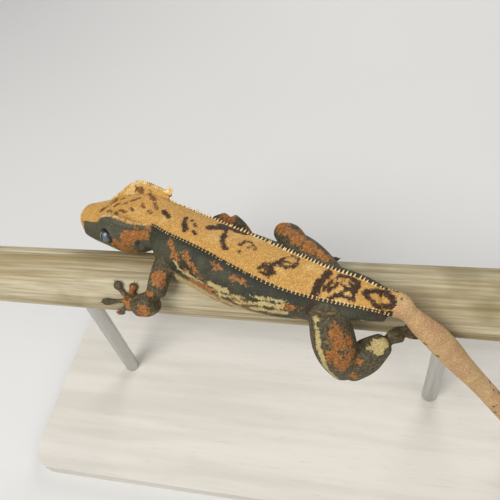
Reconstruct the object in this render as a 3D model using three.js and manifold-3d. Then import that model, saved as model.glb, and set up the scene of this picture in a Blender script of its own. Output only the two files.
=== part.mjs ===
// Crested gecko lying along a short length of bamboo cane, held by a plain display stand.
// Millimetres, +Z up. The origin is the middle of the underside of the stand's base.
import * as THREE from "three";
import { mergeVertices } from "three/addons/utils/BufferGeometryUtils.js";
import Module from "manifold-3d";

const wasm = await Module();
wasm.setup();

// Driving dimensions
const gap = 0.3; // clearance between pieces that touch
const perch = { length: 170, radius: 9.25, taper: 0.00047, axisHeight: 64 };
const groove = { depth: 0.35, width: 0.09, angles: [78, 52, 14, -20, 112, 150, 196, 240, 285] };
const base = { length: 164, width: 84, thickness: 5, corner: 8 };
const rod = { radius: 2.5, reach: 56, sides: 24 };
const eye = { radius: 2.55, ahead: 14.8, aside: 6.9, below: 5.9 };
const spine = { length: 1.35, radius: 0.5, spacing: 2.1, sunk: 0.7 };
const claw = { length: 0.9, radius: 0.32, sunk: 0.6 };
const brow = { back: -1.5, front: 18, aside: 6.6, bulge: 1.6, narrowing: 2.2, rise: 2.0, peak: 0.56, spread: 0.26, fall: 1.2, thickness: 1.6 };
const mouth = { level: 0.78, halfWidth: 0.34, halfHeight: 0.3, overhang: 0.3 };
const nostril = { ahead: 25.4, aside: 3.2, below: 4.9, radius: 0.42 };
const ear = { ahead: 3.6, aside: 9.2, below: 6.2, radius: 0.8, upright: 1.5 };
const toe = { half: 0.75, thick: 0.62, lift: 0.75 };
const widestLevel = 0.42; // how far down the trunk its widest level lies, as a share of its depth
const headMiddle = 0.45; // how far up the head its widest level lies

// Body stations from the nape to the tail's root, given by the middle of the back.
// lean is the angle that the back turns away from the near side, in degrees.
const trunk = [
  { name: "nape", x: -27.4, y: 10.9, z: 21.3, lean: 13, half: 8.0, deep: 11.6, band: 5.6 },
  { name: "neck", x: -22.6, y: 9.9, z: 21.7, lean: 15, half: 8.4, deep: 13.2, band: 5.6 },
  { name: "shoulder", x: -17.0, y: 7.3, z: 21.8, lean: 17, half: 9.8, deep: 18.2, band: 6.1 },
  { name: "ribs", x: -8.0, y: 3.0, z: 21.8, lean: 15, half: 10.2, deep: 18.4, band: 5.9 },
  { name: "middle", x: 2.0, y: -1.8, z: 21.4, lean: 9, half: 10.6, deep: 18.6, band: 5.8 },
  { name: "loin", x: 12.0, y: -6.3, z: 20.6, lean: 3, half: 9.8, deep: 15.0, band: 5.5 },
  { name: "hip", x: 21.5, y: -9.0, z: 19.3, lean: -4, half: 8.0, deep: 12.6, band: 4.5 },
  { name: "rump", x: 31.0, y: -10.8, z: 18.1, lean: -8, half: 6.2, deep: 8.8, band: 3.6 },
  { name: "root", x: 39.0, y: -12.7, z: 16.7, lean: -10, half: 3.9, deep: 6.6, band: 2.3 },
];
// Tail stations by its middle line, hanging down the near side of the cane.
const tail = [
  { x: 36.4, y: -12.0, z: 15.9, half: 3.2 },
  { x: 40.5, y: -12.4, z: 15.5, half: 3.4 },
  { x: 43.3, y: -13.0, z: 12.9, half: 2.5 },
  { x: 46.7, y: -13.4, z: 8.5, half: 3.1 },
  { x: 50.5, y: -13.5, z: 3.5, half: 3.5 },
  { x: 54.5, y: -13.4, z: -3.2, half: 3.6 },
  { x: 58.6, y: -13.1, z: -10.5, half: 3.3 },
  { x: 65.4, y: -12.6, z: -21.9, half: 3.0 },
  { x: 73.9, y: -12.6, z: -36.3, half: 3.0 },
  { x: 78.2, y: -13.2, z: -44.5, half: 2.3 },
  { x: 81.0, y: -14.0, z: -50.2, half: 1.6 },
  { x: 82.4, y: -14.8, z: -54.2, half: 1.3 },
];

// Interpolation
const vec = (x, y, z) => new THREE.Vector3(x, y, z);
const smooth = (values) => {
  const curve = new THREE.CatmullRomCurve3(values.map((v) => vec(v, 0, 0)), false, "catmullrom", 0.5);
  return (t) => curve.getPoint(THREE.MathUtils.clamp(t, 0, 1)).x;
};
const linePath = (points) => {
  const curve = new THREE.CatmullRomCurve3(points, false, "catmullrom", 0.5);
  return (t) => curve.getPoint(THREE.MathUtils.clamp(t, 0, 1));
};

// A closed tube swept along a path. section(t, angle) gives [across, up] in millimetres.
function sweep({ rings, sides, from = 0, to = 1, centre, up, section }) {
  const shape = new THREE.CylinderGeometry(1, 1, 1, sides, rings);
  shape.deleteAttribute("normal");
  shape.deleteAttribute("uv");
  const tube = mergeVertices(shape, 1e-4);
  const p = tube.attributes.position;
  for (let i = 0; i < p.count; i++) {
    const t = THREE.MathUtils.lerp(from, to, p.getY(i) + 0.5);
    const out = Math.hypot(p.getX(i), p.getZ(i));
    const angle = Math.atan2(p.getZ(i), p.getX(i));
    const here = centre(t);
    const along = centre(t + 1e-3).sub(centre(t - 1e-3)).normalize();
    const side = new THREE.Vector3().crossVectors(along, up(t)).normalize();
    const rise = new THREE.Vector3().crossVectors(side, along).normalize();
    const [a, b] = section(t, angle);
    here.addScaledVector(side, a * out).addScaledVector(rise, b * out);
    p.setXYZ(i, here.x, here.y, here.z);
  }
  return solid(tube);
}

// Solids
function solid(geometry, weld = 1e-4) {
  const bare = geometry.clone();
  bare.deleteAttribute("normal");
  bare.deleteAttribute("uv");
  const merged = mergeVertices(bare, weld);
  const made = (triVerts) =>
    new wasm.Manifold(
      new wasm.Mesh({
        numProp: 3,
        vertProperties: new Float32Array(merged.attributes.position.array),
        triVerts,
      }),
    );
  const faces = new Uint32Array(merged.index.array);
  const first = made(faces);
  if (first.volume() >= 0) return first;
  for (let i = 0; i < faces.length; i += 3) [faces[i + 1], faces[i + 2]] = [faces[i + 2], faces[i + 1]];
  return made(faces);
}
const join = (pieces) => pieces.reduce((a, b) => a.add(b));
const cut = (piece, ...tools) => tools.reduce((a, b) => a.subtract(b), piece);
const largest = (piece) => piece.decompose().reduce((a, b) => (a.volume() > b.volume() ? a : b));
const geometryOf = (piece) => {
  const data = piece.getMesh();
  const geometry = new THREE.BufferGeometry();
  geometry.setAttribute("position", new THREE.BufferAttribute(new Float32Array(data.vertProperties), 3));
  geometry.setIndex(new THREE.BufferAttribute(new Uint32Array(data.triVerts), 1));
  return geometry;
};

function mesh(name, piece, colour, roughness = 0.75) {
  const geometry = geometryOf(largest(solid(geometryOf(largest(piece)), 2e-3)));
  geometry.computeVertexNormals();
  const made = new THREE.Mesh(geometry, new THREE.MeshStandardMaterial({ color: colour, roughness }));
  made.name = name;
  return made;
}

function ball(centre, radius, stretch = vec(1, 1, 1), turn = new THREE.Quaternion(), detail = 16) {
  const shape = new THREE.SphereGeometry(radius, detail, Math.round(detail * 0.6));
  const place = new THREE.Matrix4().compose(centre, turn, stretch);
  return solid(shape.applyMatrix4(place));
}
function thorn(rootPoint, direction, length, radius, sunk = spine.sunk) {
  const shape = new THREE.ConeGeometry(radius, length + sunk, 5, 1);
  shape.translate(0, (length - sunk) / 2, 0);
  const turn = new THREE.Quaternion().setFromUnitVectors(vec(0, 1, 0), direction.clone().normalize());
  return solid(shape.applyMatrix4(new THREE.Matrix4().compose(rootPoint, turn, vec(1, 1, 1))));
}

// The cane: radius at a place along it, with shallow lengthwise grooves
const caneRadius = (x) => perch.radius * (1 + perch.taper * x);
const grooves = groove.angles.map(THREE.MathUtils.degToRad);
function caneSection(x, angle, grow, grooved) {
  let r = caneRadius(x) + grow;
  if (grooved)
    grooves.forEach((g) => {
      const off = Math.atan2(Math.sin(angle - g), Math.cos(angle - g)) / groove.width;
      r -= groove.depth * Math.exp(-off * off);
    });
  return [r * Math.cos(angle), r * Math.sin(angle)];
}
function cane(grow, grooved, sides) {
  const x = (t) => THREE.MathUtils.lerp(-perch.length / 2, perch.length / 2, t);
  return sweep({
    rings: 2,
    sides,
    centre: (t) => vec(x(t), 0, 0),
    up: () => vec(0, 0, 1),
    section: (t, angle) => caneSection(x(t), angle, grow, grooved),
  });
}
const caneClear = cane(gap, false, 40);

// The trunk as one tube, from which the neck, chest, belly and hips are cut
const trunkOf = (key) => smooth(trunk.map((s) => s[key]));
const [leanAt, halfAt, deepAt, bandAt] = ["lean", "half", "deep", "band"].map(trunkOf);
const backLine = linePath(trunk.map((s) => vec(s.x, s.y, s.z)));
const trunkUp = (t) => {
  const lean = THREE.MathUtils.degToRad(leanAt(t));
  const along = backLine(t + 1e-3).sub(backLine(t - 1e-3)).normalize();
  return vec(0, 0, 1).applyAxisAngle(along, -lean).normalize();
};
const trunkSide = (t) => {
  const along = backLine(t + 1e-3).sub(backLine(t - 1e-3)).normalize();
  return new THREE.Vector3().crossVectors(along, trunkUp(t)).normalize();
};
const bodyRound = 2.3; // exponent of the rounded section: 2 is an ellipse
function trunkSection(t, angle, grow) {
  const c = Math.cos(angle);
  const s = Math.sin(angle);
  const power = 2 / bodyRound;
  const lift = s > 0 ? widestLevel : 1 - widestLevel;
  const across = Math.sign(c) * Math.abs(c) ** power * (halfAt(t) + grow);
  const rise = Math.sign(s) * Math.abs(s) ** power * (deepAt(t) * lift + grow);
  return [across, rise - deepAt(t) * widestLevel];
}
const bodyTube = (grow, from, to, rings) =>
  sweep({
    rings,
    sides: 22,
    from,
    to,
    centre: backLine,
    up: trunkUp,
    section: (t, angle) => trunkSection(t, angle, grow),
  });
const trunkClear = bodyTube(gap, 0, 1, 32);
// The crest's line: the edge of the back's flat band, on the left at hand 1, on the right at -1
function crestPoint(t, hand) {
  const reach = Math.min(bandAt(t) / halfAt(t), 0.98);
  const c = reach ** (bodyRound / 2);
  const angle = Math.acos(hand * c);
  const [across, rise] = trunkSection(t, angle, 0);
  const side = trunkSide(t);
  const up = trunkUp(t);
  return backLine(t).addScaledVector(side, across).addScaledVector(up, rise);
}
function crestSpines(from, to) {
  const made = [];
  const steps = Math.max(1, Math.round(backLine(from).distanceTo(backLine(to)) / spine.spacing));
  for (let i = 0; i <= steps; i++) {
    const t = THREE.MathUtils.lerp(from, to, (i + 0.5) / (steps + 1));
    for (const hand of [-1, 1]) {
      const direction = trunkUp(t).addScaledVector(trunkSide(t), hand * 0.7);
      const size = 0.85 + 0.3 * Math.abs(Math.sin(i * 2.4 + hand));
      const root = crestPoint(t, hand);
      made.push(thorn(root, direction, spine.length * size * (t > 0.9 ? 0.6 : 1), spine.radius));
    }
  }
  return made;
}

// The head, in a frame of its own: forward, left and up from the crown's back edge
const headFrame = {
  crown: vec(-25.9, 11.0, 21.9),
  forward: vec(-0.982, 0.132, -0.1).normalize(),
  up: vec(-0.08, 0.1, 0.99).normalize(),
};
headFrame.left = new THREE.Vector3().crossVectors(headFrame.up, headFrame.forward).normalize();
headFrame.up = new THREE.Vector3().crossVectors(headFrame.forward, headFrame.left).normalize();
const headPoint = (ahead, left, up) =>
  headFrame.crown
    .clone()
    .addScaledVector(headFrame.forward, ahead)
    .addScaledVector(headFrame.left, left)
    .addScaledVector(headFrame.up, up);
const headStations = [
  { ahead: -3.0, half: 6.4, crown: -1.4, chin: -10.4 },
  { ahead: 1.0, half: 8.4, crown: -0.2, chin: -12.6 },
  { ahead: 5.5, half: 9.8, crown: 0.4, chin: -14.0 },
  { ahead: 10.0, half: 9.5, crown: 0.5, chin: -14.8 },
  { ahead: 14.5, half: 8.2, crown: 0.0, chin: -15.0 },
  { ahead: 18.5, half: 6.6, crown: -1.0, chin: -14.8 },
  { ahead: 22.5, half: 5.4, crown: -1.7, chin: -14.2 },
  { ahead: 25.4, half: 4.6, crown: -2.2, chin: -13.2 },
  { ahead: 26.8, half: 3.8, crown: -2.9, chin: -11.8 },
];
const headOf = (key) => smooth(headStations.map((s) => s[key]));
const [aheadAt, headHalf, crownAt, chinAt] = ["ahead", "half", "crown", "chin"].map(headOf);
const headRound = 2.5; // exponent of the rounded lower half
function headSection(t, angle, grow) {
  const c = Math.cos(angle);
  const s = Math.sin(angle);
  const power = 2 / (s > 0 ? 3.1 : headRound);
  const middle = THREE.MathUtils.lerp(chinAt(t), crownAt(t), headMiddle);
  const reach = s > 0 ? crownAt(t) - middle : middle - chinAt(t);
  const pinch = 1 - 0.12 * Math.abs(s);
  const across = Math.sign(c) * Math.abs(c) ** power * (headHalf(t) * pinch + grow);
  return [across, middle + Math.sign(s) * Math.abs(s) ** power * (reach + grow)];
}
const headTube = (grow, rings, sides) =>
  sweep({
    rings,
    sides,
    centre: (t) => headPoint(aheadAt(t) + (t > 0.5 ? grow : -grow), 0, 0),
    up: () => headFrame.up.clone(),
    section: (t, angle) => headSection(t, angle, grow),
  });

const colours = {
  cream: 0xc9a25c,
  olive: 0x4a4432,
  orange: 0xa0602c,
  tail: 0xb59a70,
  eye: 0x5a5d5a,
  bamboo: 0x9a8f72,
  base: 0x2b2b2b,
  steel: 0xb8b8b8,
};
const figure = new THREE.Group();
figure.position.z = perch.axisHeight;
const add = (...given) => figure.add(mesh(...given));

// Head with sockets, brows, mouth line, nostrils and ear openings
const headCore = headTube(0, 18, 24);
const headClear = headTube(gap, 18, 24);
const browPoint = (u, hand) =>
  headPoint(
    THREE.MathUtils.lerp(brow.back, brow.front, u),
    hand * (brow.aside + brow.bulge * Math.sin(Math.PI * Math.min(1, u * 1.15)) - brow.narrowing * u * u),
    brow.rise * Math.exp(-(((u - brow.peak) / brow.spread) ** 2)) - brow.fall * u * u - 0.5 * (1 - u) ** 4,
  );
const headParts = [];
for (const hand of [-1, 1]) {
  headParts.push(
    sweep({
      rings: 8,
      sides: 6,
      centre: (t) => browPoint(t, hand).addScaledVector(headFrame.up, -0.9),
      up: () => headFrame.up.clone(),
      section: (t, angle) => {
        const thick = 0.5 + (brow.thickness - 0.5) * Math.sin(Math.PI * t);
        return [thick * Math.cos(angle), thick * 0.9 * Math.sin(angle)];
      },
    }),
  );
  for (let i = 0; i < 9; i++) {
    const u = (i + 0.4) / 9;
    const direction = headFrame.up.clone().addScaledVector(headFrame.left, hand * 0.8);
    const size = (0.55 + 0.6 * Math.sin(Math.PI * (1 - u))) * (1 - 0.4 * u);
    headParts.push(thorn(browPoint(u, hand), direction, spine.length * size, spine.radius * 1.1, 1.1));
  }
}
const eyeCentre = (hand) => headPoint(eye.ahead, hand * eye.aside, -eye.below);
// The mouth line: a groove along the lips, from one jaw corner round the snout to the other
const lipLevel = (t) => THREE.MathUtils.lerp(crownAt(t), chinAt(t), mouth.level);
function lipPoint(t, hand) {
  const middle = THREE.MathUtils.lerp(chinAt(t), crownAt(t), headMiddle);
  const drop = (middle - lipLevel(t)) / (middle - chinAt(t));
  const reach = headHalf(t) * (1 - 0.12 * drop ** (headRound / 2)) * (1 - drop ** headRound) ** (1 / headRound);
  return headPoint(aheadAt(t), hand * reach, lipLevel(t));
}
const lipSteps = [0.42, 0.5, 0.6, 0.7, 0.8, 0.9, 0.985];
const lips = [
  ...lipSteps.map((t) => lipPoint(t, 1)),
  headPoint(aheadAt(1) + mouth.overhang, 0, lipLevel(1)),
  ...lipSteps.map((t) => lipPoint(t, -1)).reverse(),
];
const mouthGroove = sweep({
  rings: 26,
  sides: 5,
  centre: linePath(lips),
  up: () => headFrame.up.clone(),
  section: (t, angle) => [mouth.halfWidth * Math.cos(angle), mouth.halfHeight * Math.sin(angle)],
});
const headCuts = [mouthGroove];
for (const hand of [-1, 1]) {
  headCuts.push(ball(eyeCentre(hand), eye.radius + gap, vec(1, 1, 1), undefined, 16));
  const nostrilAt = headPoint(nostril.ahead, hand * nostril.aside, -nostril.below);
  const earAt = headPoint(ear.ahead, hand * ear.aside, -ear.below);
  headCuts.push(ball(nostrilAt, nostril.radius, undefined, undefined, 8));
  headCuts.push(ball(earAt, ear.radius, vec(1, 1, ear.upright), undefined, 8));
}
const dressed = headCore.add(cut(join(headParts), trunkClear));
add("head", cut(dressed, caneClear, ...headCuts), colours.cream);
add("eye_left", ball(eyeCentre(1), eye.radius, undefined, undefined, 18), colours.eye, 0.1);
add("eye_right", ball(eyeCentre(-1), eye.radius, undefined, undefined, 18), colours.eye, 0.1);

// Neck, chest, belly and hips: lengths of the trunk's tube that meet face to face
const lengths = [
  { name: "neck", from: 0.0, to: 0.215 },
  { name: "chest", from: 0.215, to: 0.46 },
  { name: "belly", from: 0.46, to: 0.7 },
  { name: "hips", from: 0.7, to: 0.985 },
];
const trunkLength = 82;
const jointSpare = (0.8 * gap) / trunkLength; // half the joint's width, as a share of the trunk's length
lengths.forEach(({ name, from, to }, i) => {
  const rings = Math.round((to - from) * 32);
  const tube = bodyTube(0, from + jointSpare, to - jointSpare, rings);
  const withSpines = join([tube, ...crestSpines(from + (i ? 0.012 : 0.1), to - 0.012)]);
  const clears = [caneClear];
  if (i === 0) clears.push(headClear);
  add(name, cut(withSpines, ...clears), i === 0 ? colours.olive : colours.cream);
});

// Tail in four lengths that meet face to face
const tailLine = linePath(tail.map((s) => vec(s.x, s.y, s.z)));
const tailHalf = smooth(tail.map((s) => s.half));
const tailTube = (grow, from, to, rings) =>
  sweep({
    rings,
    sides: 16,
    from,
    to,
    centre: tailLine,
    up: () => vec(0, -1, 0.15),
    section: (t, angle) => {
      const r = tailHalf(t) + grow;
      return [r * Math.cos(angle), r * 0.9 * Math.sin(angle)];
    },
  });
const tailCuts = [0, 0.28, 0.52, 0.76, 1];
const tailSpare = 0.0019; // half the joint's width, as a share of the tail's length
tailCuts.slice(0, -1).forEach((from, i) => {
  const piece = tailTube(0, from + tailSpare, tailCuts[i + 1] - tailSpare, 9);
  add("tail_" + (i + 1), cut(piece, trunkClear, caneClear), colours.tail);
});
const tailClear = tailTube(gap, 0, 1, 40);

// Limbs: a tapered tube along three or four points each
const limb = (points, radii, grow = 0, rings = 8) => {
  const line = linePath(points);
  const size = smooth(radii);
  return sweep({
    rings,
    sides: 10,
    centre: line,
    up: () => vec(0.2, 0.1, 1),
    section: (t, angle) => {
      const end = Math.min(1, 12 * t + 0.45, 12 * (1 - t) + 0.45);
      const r = size(t) * end + grow;
      return [r * Math.cos(angle), r * Math.sin(angle)];
    },
  });
};

// A point on the cane's surface, at a place along it and an angle up from its near side
const onCane = (x, degrees, lift) => {
  const a = THREE.MathUtils.degToRad(degrees);
  const r = caneRadius(x) + lift;
  return vec(x, -r * Math.cos(a), r * Math.sin(a));
};
const caneNormal = (degrees) => {
  const a = THREE.MathUtils.degToRad(degrees);
  return vec(0, -Math.cos(a), Math.sin(a));
};

// A foot gripping the cane: a palm, and toes with wide flat pads and a small claw each
function foot({ x, angle, toes, palm, wrist }) {
  const pieces = [];
  const middle = onCane(x, angle, palm * 0.45);
  pieces.push(ball(middle, palm, vec(1, 0.85, 0.85), undefined, 10));
  pieces.push(limb([wrist, wrist.clone().lerp(middle, 0.5), middle], [palm * 0.72, palm * 0.75, palm * 0.7], 0, 3));
  toes.forEach(({ dx, turn, pad }) => {
    const at = (t) => onCane(x + dx * t, angle + turn * t, toe.lift);
    const normal = (t) => caneNormal(angle + turn * t);
    pieces.push(
      sweep({
        rings: 5,
        sides: 6,
        centre: at,
        up: normal,
        section: (t, a) => {
          const padShape = Math.exp(-(((t - 0.78) / 0.2) ** 2));
          const end = t > 0.93 ? 0.55 : 1;
          const half = (toe.half + (pad - toe.half) * padShape) * end;
          return [half * Math.cos(a), toe.thick * end * Math.sin(a)];
        },
      }),
    );
    const tip = at(1);
    const outward = tip.clone().sub(at(0.9)).normalize().addScaledVector(normal(1), 0.25);
    pieces.push(thorn(tip, outward, claw.length, claw.radius, claw.sunk));
  });
  return join(pieces);
}

const legs = [
  {
    side: "left",
    kind: "fore",
    upper: [vec(-20.4, 1.0, 14.4), vec(-22.2, -5.6, 12.6), vec(-23.4, -11.2, 9.4)],
    upperSize: [3.8, 3.2, 2.8],
    lower: [vec(-23.2, -11.6, 9.0), vec(-26.2, -12.4, 7.4), vec(-29.8, -11.2, 5.8)],
    lowerSize: [3.3, 3.6, 2.7],
    foot: {
      x: -33.4,
      angle: 22,
      palm: 3.0,
      wrist: vec(-29.6, -10.7, 6.1),
      toes: [
        { dx: 1.8, turn: 32, pad: 1.4 },
        { dx: -4.2, turn: 33, pad: 1.5 },
        { dx: -9.2, turn: -8, pad: 1.5 },
        { dx: -6.4, turn: -52, pad: 1.5 },
        { dx: 0.6, turn: -62, pad: 1.4 },
      ],
    },
  },
  {
    side: "right",
    kind: "fore",
    upper: [vec(-16.4, 11.6, 9.6), vec(-12.2, 15.0, 10.0), vec(-7.3, 15.8, 12.6)],
    upperSize: [3.3, 2.8, 2.3],
    lower: [vec(-7.0, 15.8, 12.4), vec(-3.8, 14.8, 9.4), vec(-1.0, 12.7, 6.4)],
    lowerSize: [2.4, 2.2, 1.8],
    foot: {
      x: 1.0,
      angle: 146,
      palm: 2.4,
      wrist: vec(-0.8, 12.3, 6.1),
      toes: [
        { dx: -7.4, turn: 20, pad: 1.5 },
        { dx: -5.2, turn: 44, pad: 1.5 },
        { dx: 0.4, turn: 54, pad: 1.5 },
        { dx: 5.4, turn: 42, pad: 1.5 },
        { dx: 7.4, turn: 16, pad: 1.4 },
      ],
    },
  },
  {
    side: "left",
    kind: "hind",
    upper: [vec(23.4, -12.6, 12.4), vec(25.8, -17.8, 3.0), vec(28.4, -18.8, -9.4)],
    upperSize: [4.8, 5.8, 3.4],
    lower: [vec(29.0, -18.6, -9.2), vec(33.6, -17.4, -2.0), vec(39.0, -13.9, 1.2)],
    lowerSize: [3.5, 4.6, 2.7],
    foot: {
      x: 42.6,
      angle: -4,
      palm: 2.6,
      wrist: vec(39.2, -13.2, 1.0),
      toes: [
        { dx: 3.0, turn: 44, pad: 1.5 },
        { dx: 8.2, turn: 22, pad: 1.6 },
        { dx: 9.0, turn: -14, pad: 1.6 },
        { dx: 5.4, turn: -44, pad: 1.6 },
        { dx: -2.0, turn: -52, pad: 1.5 },
      ],
    },
  },
  {
    side: "right",
    kind: "hind",
    upper: [vec(24.4, -5.0, 13.2), vec(17.4, 2.4, 14.6), vec(9.0, 9.4, 14.8)],
    upperSize: [4.4, 4.2, 2.7],
    lower: [vec(8.8, 9.8, 14.4), vec(11.6, 13.0, 9.6), vec(15.2, 12.2, 4.6)],
    lowerSize: [2.9, 3.1, 2.1],
    foot: {
      x: 18.4,
      angle: 168,
      palm: 2.6,
      wrist: vec(15.4, 12.0, 4.4),
      toes: [
        { dx: -5.0, turn: 40, pad: 1.6 },
        { dx: 1.6, turn: 54, pad: 1.6 },
        { dx: 6.8, turn: 38, pad: 1.6 },
        { dx: 9.2, turn: 10, pad: 1.6 },
        { dx: 6.6, turn: -18, pad: 1.5 },
      ],
    },
  },
];
for (const leg of legs) {
  const name = leg.side + "_" + leg.kind + "_";
  const bodyClear = [trunkClear, caneClear, tailClear, headClear];
  const upperClear = limb(leg.upper, leg.upperSize, gap);
  const lowerClear = limb(leg.lower, leg.lowerSize, gap);
  add(name + "upper", cut(limb(leg.upper, leg.upperSize), ...bodyClear), colours.orange);
  add(name + "lower", cut(limb(leg.lower, leg.lowerSize), upperClear, ...bodyClear), colours.olive);
  const grip = cut(foot(leg.foot), lowerClear, upperClear, ...bodyClear);
  add(name + "foot", grip, colours.olive);
}

// Perch and stand
add("perch", cane(0, true, 56), colours.bamboo, 0.6);
const plate = new THREE.Shape();
const [px, py] = [base.length / 2, base.width / 2];
plate.moveTo(-px + base.corner, -py);
plate.lineTo(px - base.corner, -py);
plate.absarc(px - base.corner, -py + base.corner, base.corner, -Math.PI / 2, 0, false);
plate.lineTo(px, py - base.corner);
plate.absarc(px - base.corner, py - base.corner, base.corner, 0, Math.PI / 2, false);
plate.lineTo(-px + base.corner, py);
plate.absarc(-px + base.corner, py - base.corner, base.corner, Math.PI / 2, Math.PI, false);
plate.lineTo(-px, -py + base.corner);
plate.absarc(-px + base.corner, -py + base.corner, base.corner, Math.PI, Math.PI * 1.5, false);
const slab = new THREE.ExtrudeGeometry(plate, { depth: base.thickness, bevelEnabled: false, curveSegments: 6 });
slab.translate(0, 0, -perch.axisHeight);
add("stand_base", solid(slab), colours.base, 0.5);
for (const [name, x] of [["stand_rod_left", -rod.reach], ["stand_rod_right", rod.reach]]) {
  const bottom = -perch.axisHeight + base.thickness + gap;
  const post = new THREE.CylinderGeometry(rod.radius, rod.radius, -bottom, rod.sides);
  post.rotateX(Math.PI / 2);
  post.translate(x, 0, bottom / 2);
  add(name, cut(solid(post), caneClear), colours.steel, 0.3);
}

const gecko = new THREE.Group();
gecko.add(figure);
export default gecko;
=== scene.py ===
import bpy
import math
import random
import numpy as np
from mathutils import Matrix, Vector
from mathutils.bvhtree import BVHTree


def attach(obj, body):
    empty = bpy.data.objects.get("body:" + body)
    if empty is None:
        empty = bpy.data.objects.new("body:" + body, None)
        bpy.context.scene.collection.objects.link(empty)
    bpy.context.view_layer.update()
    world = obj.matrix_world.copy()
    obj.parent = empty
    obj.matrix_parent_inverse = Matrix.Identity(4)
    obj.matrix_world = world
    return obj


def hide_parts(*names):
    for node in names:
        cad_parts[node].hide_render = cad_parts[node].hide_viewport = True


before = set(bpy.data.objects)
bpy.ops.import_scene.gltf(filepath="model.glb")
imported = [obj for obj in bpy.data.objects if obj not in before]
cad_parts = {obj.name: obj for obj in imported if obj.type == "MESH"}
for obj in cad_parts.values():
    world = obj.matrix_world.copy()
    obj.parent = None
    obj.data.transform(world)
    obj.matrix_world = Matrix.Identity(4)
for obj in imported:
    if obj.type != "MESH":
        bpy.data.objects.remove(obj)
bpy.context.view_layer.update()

# The camera looks down on the cane from the near side, a little from the tail's end,
# turned so that the level cane lies almost level in the picture.
MM = 0.001
CANE_HEIGHT = 64.0
view_azimuth, view_elevation, view_roll = 19.64, 50.0, -12.57
view_distance, view_raise = 156.5, 11.3
focal_pixels, picture_pixels, sensor_width = 540.0, 500.0, 36.0


def stand_place(point):
    """A place measured from the cane's middle, in millimetres, as a place in the frame."""
    return Vector((point[0], point[1], point[2] + CANE_HEIGHT)) * MM


turn, rise, roll = (math.radians(v) for v in (view_azimuth, view_elevation, view_roll))
back = Vector((math.sin(turn) * math.cos(rise), -math.cos(turn) * math.cos(rise), math.sin(rise)))
level = Vector((math.cos(turn), math.sin(turn), 0))
upward = back.cross(level)
camera_right = level * math.cos(roll) + upward * math.sin(roll)
camera_up = upward * math.cos(roll) - level * math.sin(roll)
lens = bpy.data.cameras.new("camera")
lens.sensor_width = sensor_width
lens.lens = focal_pixels / picture_pixels * sensor_width
lens.clip_start, lens.clip_end = 0.01, 20
camera = bpy.data.objects.new("camera", lens)
placed = Matrix((camera_right, camera_up, back)).transposed().to_4x4()
placed.translation = stand_place(back * view_distance + camera_up * view_raise)
camera.matrix_world = placed
bpy.context.collection.objects.link(camera)
bpy.context.scene.camera = camera


# The gecko's body: one soft granular skin over trunk, tail, head, limbs and toes, cast in a
# single piece. Each is a tube through stations that repeat the solids' own, measured in
# millimetres from the cane's middle, and all of them are grown together.
line_step = 1e-3


def blend(values, t):
    """The smooth curve through evenly spaced values, at shares t from 0 to 1."""
    knots = np.asarray(values, float)
    knots = knots[:, None] if knots.ndim == 1 else knots
    knots = np.vstack([2 * knots[0] - knots[1], knots, 2 * knots[-1] - knots[-2]])
    place = np.clip(np.atleast_1d(t), 0, 1) * (len(knots) - 3)
    first = np.minimum(place.astype(int), len(knots) - 4)
    w = (place - first)[:, None]
    a, b, c, d = (knots[first + k] for k in range(4))
    leave, arrive = (c - a) / 2, (d - b) / 2
    out = b + leave * w + (3 * (c - b) - 2 * leave - arrive) * w**2 + (2 * (b - c) + leave + arrive) * w**3
    return out[:, 0] if out.shape[1] == 1 else out


def unit(v):
    return v / np.linalg.norm(v, axis=-1, keepdims=True)


def heading(line, t):
    """The direction of a line at shares t."""
    return unit(line(t + line_step) - line(t - line_step))


def frames(line, up, t):
    """Middle, side and rise of a tube's sections at shares t."""
    along = heading(line, t)
    side = unit(np.cross(along, up(t)))
    return line(t), side, np.cross(side, along)


def ring_faces(rings, sides):
    """Faces between rings of corners, each ring numbered on from the one before."""
    faces = []
    for r in range(rings - 1):
        for k in range(sides):
            a, b = r * sides + k, r * sides + (k + 1) % sides
            faces.append((a, b, b + sides, a + sides))
    return faces


def tube(line, up, section, rings, sides):
    """Corners and faces of a closed tube. section(t, angle) gives across and up."""
    t = np.linspace(0, 1, rings)
    middle, side, rise = frames(line, up, t)
    corners = []
    for k in range(sides):
        across, lift = section(t, np.full(rings, 2 * math.pi * k / sides))
        corners.append(middle + side * across[:, None] + rise * lift[:, None])
    corners = np.stack(corners, 1).reshape(-1, 3)
    faces = ring_faces(rings, sides)
    faces.append(tuple(range(sides))[::-1])
    faces.append(tuple((rings - 1) * sides + k for k in range(sides)))
    return corners, faces


def power(value, exponent):
    return np.sign(value) * np.abs(value) ** exponent


def rounded_end(t, length, least):
    """How much of its radius a tube keeps over its last share, to end in a round tip."""
    return np.sqrt(np.clip(1 - ((t - (1 - length)) / length).clip(0) ** 2, least, 1))


# name, x, y, z, lean, half, deep, band
trunk_stations = [
    ("nape", -27.4, 10.9, 21.3, 13, 8.0, 11.6, 5.6),
    ("neck", -22.6, 9.9, 21.7, 15, 8.4, 13.2, 5.6),
    ("shoulder", -17.0, 7.3, 21.8, 17, 9.8, 18.2, 6.1),
    ("ribs", -8.0, 3.0, 21.8, 15, 10.2, 18.4, 5.9),
    ("middle", 2.0, -1.8, 21.4, 9, 10.6, 18.6, 5.8),
    ("loin", 12.0, -6.3, 20.6, 3, 9.8, 15.0, 5.5),
    ("hip", 21.5, -9.0, 19.3, -4, 8.0, 12.6, 4.5),
    ("rump", 31.0, -10.8, 18.1, -8, 6.2, 8.8, 3.6),
    ("root", 39.0, -12.7, 16.7, -10, 3.9, 6.6, 2.3),
]
trunk = np.array([s[1:] for s in trunk_stations])
skin_inset = 0.12
body_round = 2.3
share_above, share_below = 0.42, 0.58  # of the trunk's depth, from its widest level


def back_line(t):
    return blend(trunk[:, :3], t)


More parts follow.
